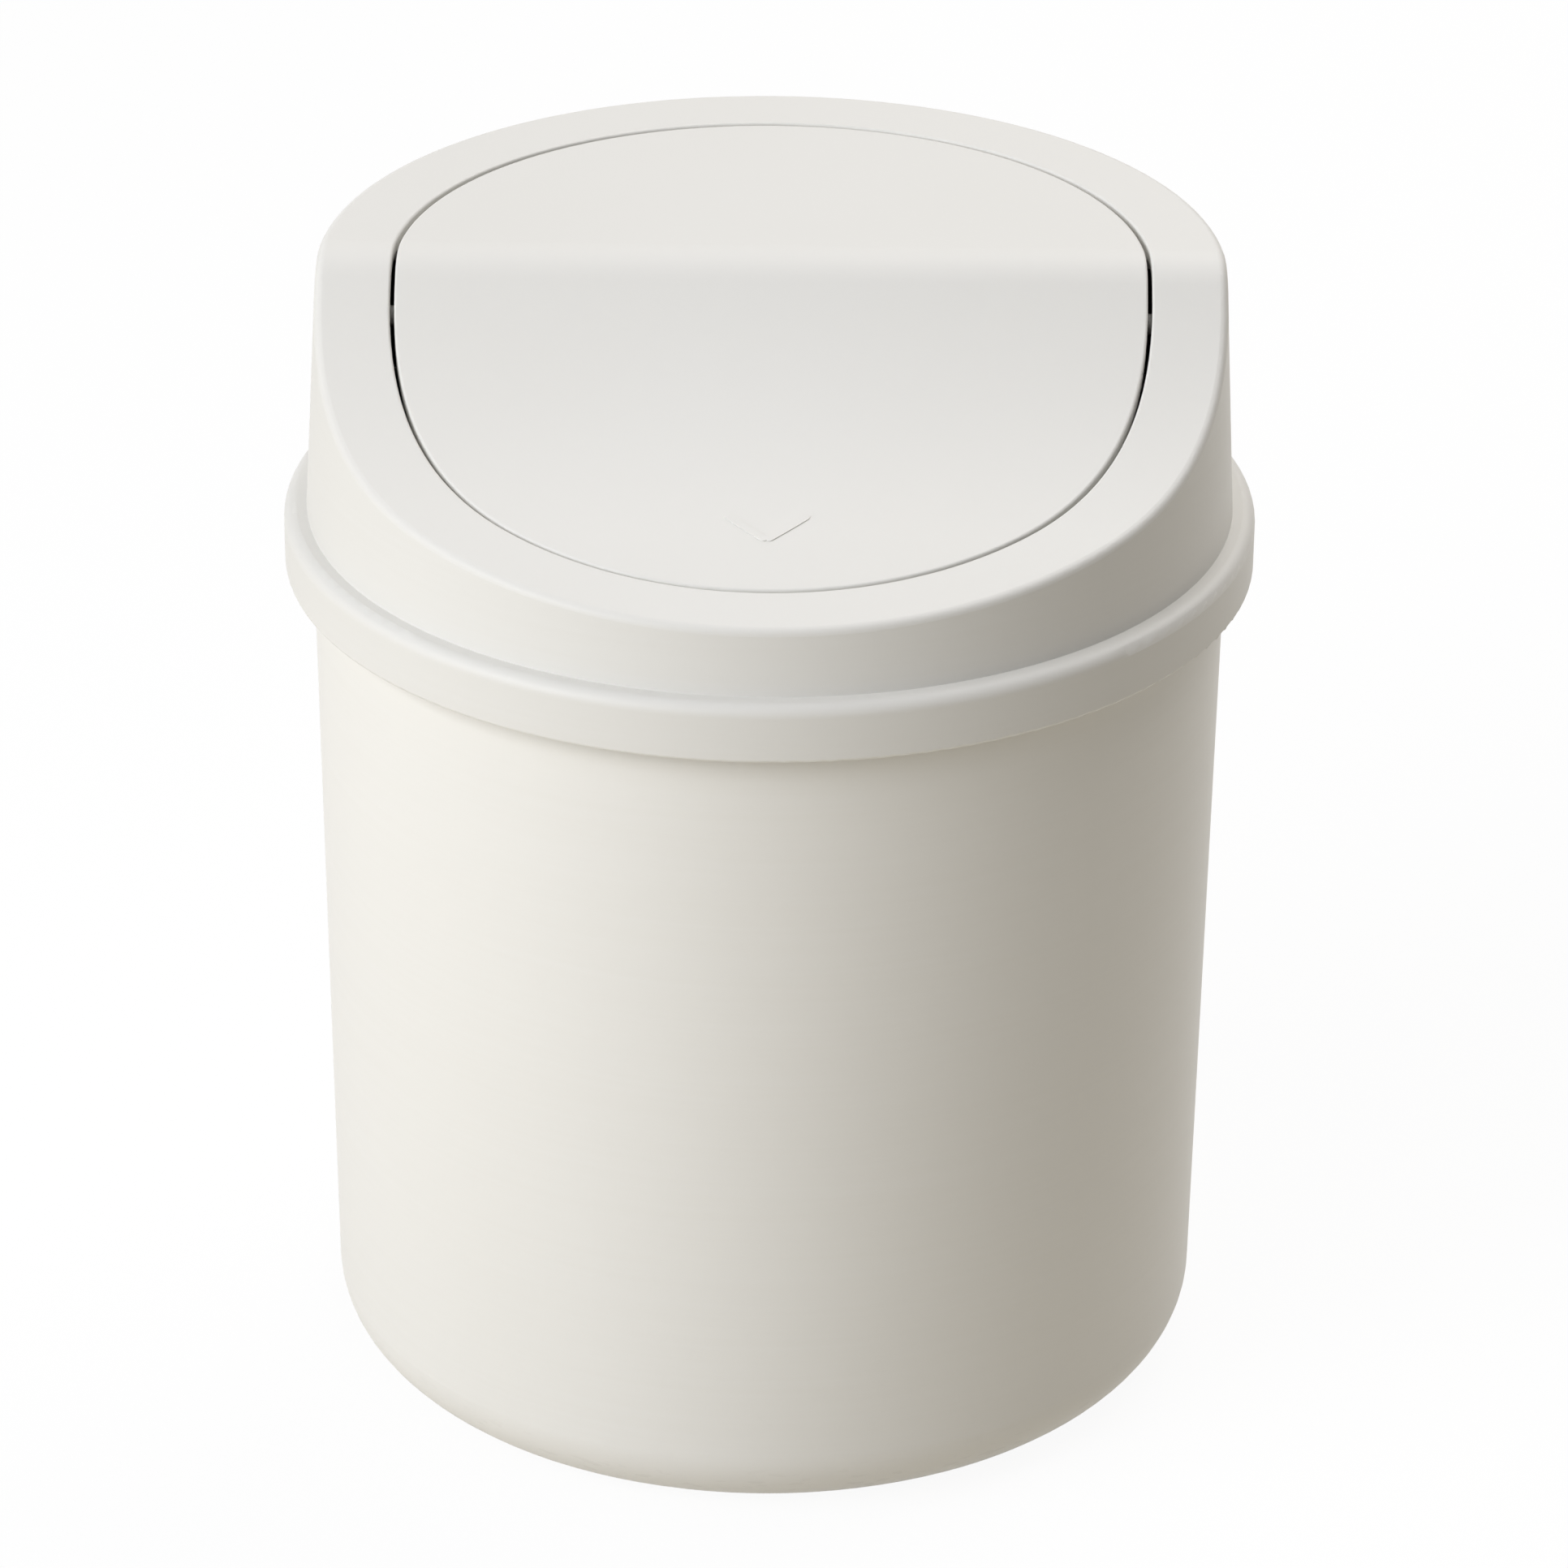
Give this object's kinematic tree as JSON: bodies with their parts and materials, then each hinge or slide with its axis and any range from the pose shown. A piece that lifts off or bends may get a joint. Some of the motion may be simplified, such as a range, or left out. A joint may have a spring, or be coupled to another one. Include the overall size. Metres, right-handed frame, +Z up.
{
  "type": "tabletop swing-lid bin",
  "caption": "Small round tabletop bin with a tapered body, a lift-off collared lid with a scooped top, and a round flap that swings in on pivot pins.",
  "frame": {"origin": "centre of the bin's base, on the plane that its foot ring stands on", "axes": "+Z up; -Y is the front, the low side of the lid where the flap is pushed in; +X is to the right seen from the front, and the pivot axis is parallel to it"},
  "size_m": [0.1402, 0.1402, 0.1707],
  "materials": {
    "bin_plastic": "satin moulded, warm ivory",
    "lid_plastic": "satin moulded, warm ivory",
    "flap_plastic": "satin moulded, warm ivory",
    "pin_plastic": "natural, smooth"
  },
  "bodies": {
    "bin": {"bin_body": "bin_plastic"},
    "lid": {"lid_hood": "lid_plastic"},
    "flap": {"swing_flap": "flap_plastic", "pivot_pin_left": "pin_plastic", "pivot_pin_right": "pin_plastic"}
  },
  "joints": [
    {"name": "lid_lift", "type": "slide", "parent": "bin", "child": "lid", "axis": [0, 0, 1], "range_m": [0, 0.06]},
    {"name": "flap_swing", "type": "hinge", "parent": "lid", "child": "flap", "pos_m": [0, -0.0023, 0.16211], "axis": [1, 0, 0], "range_deg": [0, 75]}
  ]
}
